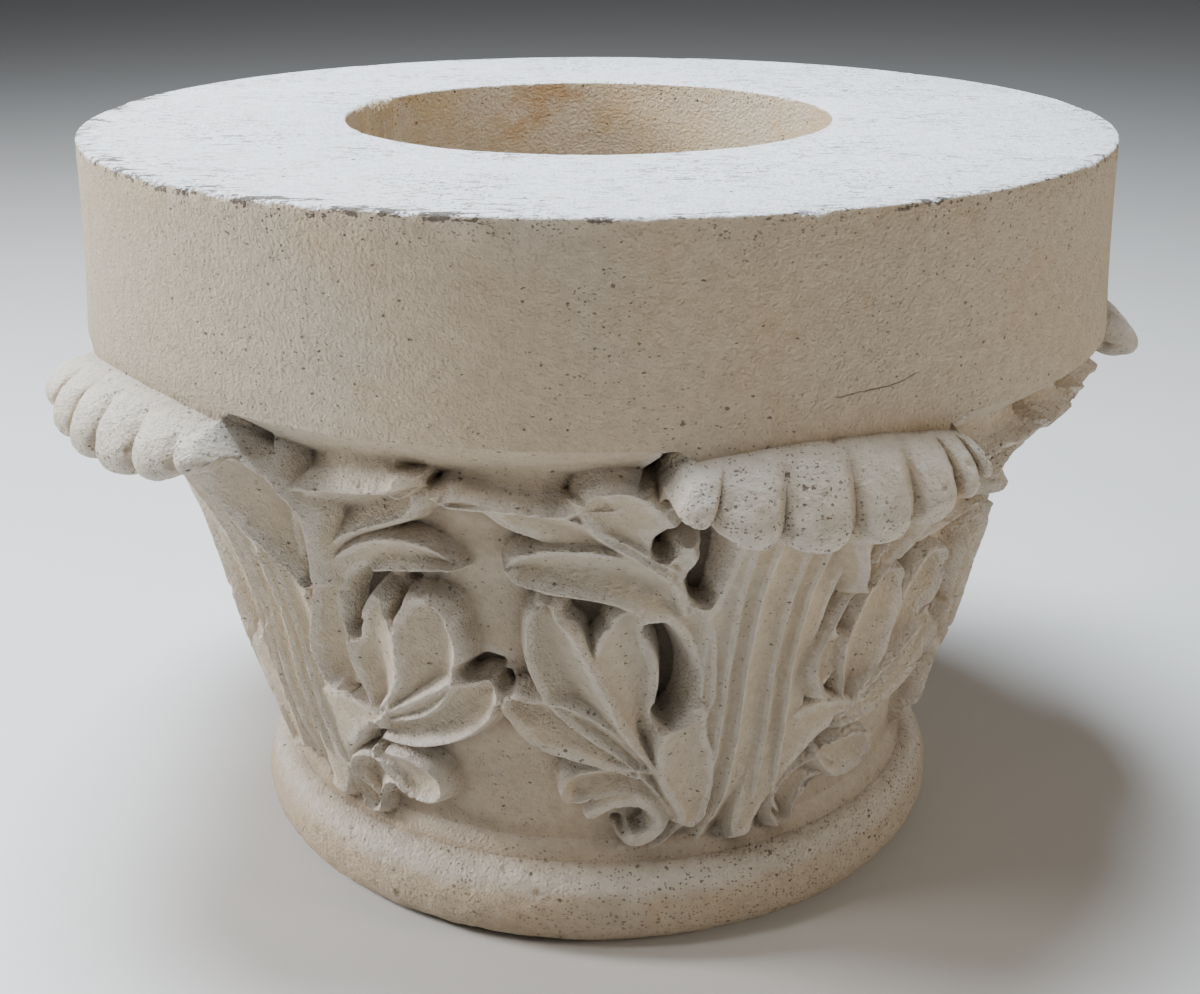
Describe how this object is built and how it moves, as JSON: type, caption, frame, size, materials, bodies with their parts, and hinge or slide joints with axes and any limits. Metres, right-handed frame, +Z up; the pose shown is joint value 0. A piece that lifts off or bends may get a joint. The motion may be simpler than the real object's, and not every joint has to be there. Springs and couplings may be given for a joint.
{
  "type": "corinthian capital",
  "caption": "Round carved stone capital: thick circular abacus with a deep bore, leaf-carved bell, lobed corner leaves and a rounded base ring.",
  "frame": {"origin": "centre of the flat underside, on the abacus's axis", "axes": "+Z up along the abacus's axis; -Z out of the flat underside; -Y towards the face that the picture looks at"},
  "size_m": [0.64, 0.6525, 0.44],
  "materials": {
    "limestone": "weathered porous off-white limestone, matt, with dark grime along the upper edge"
  },
  "bodies": {
    "root": {"capital": "limestone"}
  },
  "joints": []
}
